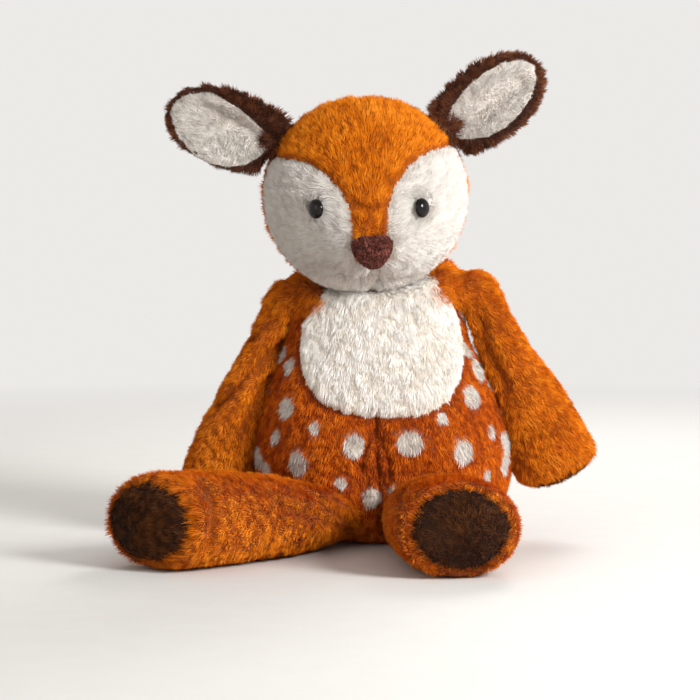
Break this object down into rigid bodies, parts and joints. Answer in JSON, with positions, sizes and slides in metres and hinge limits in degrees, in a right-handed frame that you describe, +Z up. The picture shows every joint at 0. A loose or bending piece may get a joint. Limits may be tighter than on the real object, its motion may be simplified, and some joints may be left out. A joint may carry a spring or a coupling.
{
  "type": "plush deer",
  "caption": "Seated plush deer: round head on a sewn neck, cupped ears, swinging arms, lifting legs with dark sole pads, a pale chest bib and a short tail.",
  "frame": {"origin": "the middle of the flat patch of the seat, on the surface that the toy sits on", "axes": "+Z up; the deer faces -Y, so its own left side is +X"},
  "size_m": [0.2364, 0.2095, 0.2422],
  "materials": {
    "spotted_plush": "matte",
    "orange_plush": "matte",
    "white_plush": "matte",
    "bib_plush": "matte",
    "brown_plush": "matte",
    "pad_plush": "matte",
    "nose_terry": "matte",
    "filling": "matte",
    "pellet_cloth": "matte",
    "seam_tape": "matte",
    "eye_plastic": "gloss",
    "washer_plastic": "satin"
  },
  "bodies": {
    "torso": {"body_skin": "spotted_plush", "chest_bib": "bib_plush", "body_stuffing": "filling", "pellet_bag": "pellet_cloth"},
    "neck": {"neck_ring": "seam_tape"},
    "head": {"crown_panel": "orange_plush", "head_back_left": "orange_plush", "head_back_right": "orange_plush", "cheek_left": "white_plush", "cheek_right": "white_plush", "head_stuffing": "filling", "nose_pad": "nose_terry", "eye_left": "eye_plastic", "eye_right": "eye_plastic", "eye_washer_left": "washer_plastic", "eye_washer_right": "washer_plastic"},
    "ear_left": {"ear_back_left": "brown_plush", "ear_lining_left": "white_plush"},
    "ear_right": {"ear_back_right": "brown_plush", "ear_lining_right": "white_plush"},
    "arm_left": {"arm_skin_left": "orange_plush", "arm_stuffing_left": "filling", "paw_pad_left": "pad_plush"},
    "arm_right": {"arm_skin_right": "orange_plush", "arm_stuffing_right": "filling", "paw_pad_right": "pad_plush"},
    "leg_left": {"leg_skin_left": "orange_plush", "leg_stuffing_left": "filling", "sole_pad_left": "pad_plush"},
    "leg_right": {"leg_skin_right": "orange_plush", "leg_stuffing_right": "filling", "sole_pad_right": "pad_plush"},
    "tail": {"tail_top": "orange_plush", "tail_under": "white_plush"}
  },
  "joints": [
    {"name": "neck_turn", "type": "hinge", "parent": "torso", "child": "neck", "pos_m": [-0.0105, -0.003, 0.12299], "axis": [0, 0, 1], "range_deg": [-20, 20], "stiffness_Nm_per_rad": 0.1},
    {"name": "neck_tip", "type": "hinge", "parent": "neck", "child": "head", "pos_m": [-0.0105, -0.003, 0.12299], "axis": [-1, 0, 0], "range_deg": [0, 10]},
    {"name": "ear_fold_left", "type": "hinge", "parent": "head", "child": "ear_left", "pos_m": [0.02811, -0.01553, 0.20315], "axis": [0.5721, 0.0599, -0.818], "range_deg": [-25, 25], "stiffness_Nm_per_rad": 0.03},
    {"name": "ear_fold_right", "type": "hinge", "parent": "head", "child": "ear_right", "pos_m": [-0.05312, -0.01765, 0.19747], "axis": [0.3185, -0.04, 0.9471], "range_deg": [-25, 25], "stiffness_Nm_per_rad": 0.03},
    {"name": "arm_lift_left", "type": "hinge", "parent": "torso", "child": "arm_left", "pos_m": [0.04366, -0.00734, 0.12699], "axis": [0, -1, 0], "range_deg": [0, 70]},
    {"name": "arm_lift_right", "type": "hinge", "parent": "torso", "child": "arm_right", "pos_m": [-0.04914, -0.00734, 0.12299], "axis": [0, 1, 0], "range_deg": [0, 70]},
    {"name": "leg_lift_left", "type": "hinge", "parent": "torso", "child": "leg_left", "pos_m": [0.02062, -0.04177, 0.029], "axis": [-0.9925, -0.1219, 0], "range_deg": [0, 30]},
    {"name": "leg_lift_right", "type": "hinge", "parent": "torso", "child": "leg_right", "pos_m": [-0.03039, -0.03936, 0.029], "axis": [-0.6561, 0.7547, 0], "range_deg": [0, 30]},
    {"name": "tail_lift", "type": "hinge", "parent": "torso", "child": "tail", "pos_m": [-0.0012, 0.0464, 0.0306], "axis": [1, 0, 0], "range_deg": [0, 30], "stiffness_Nm_per_rad": 0.01}
  ]
}
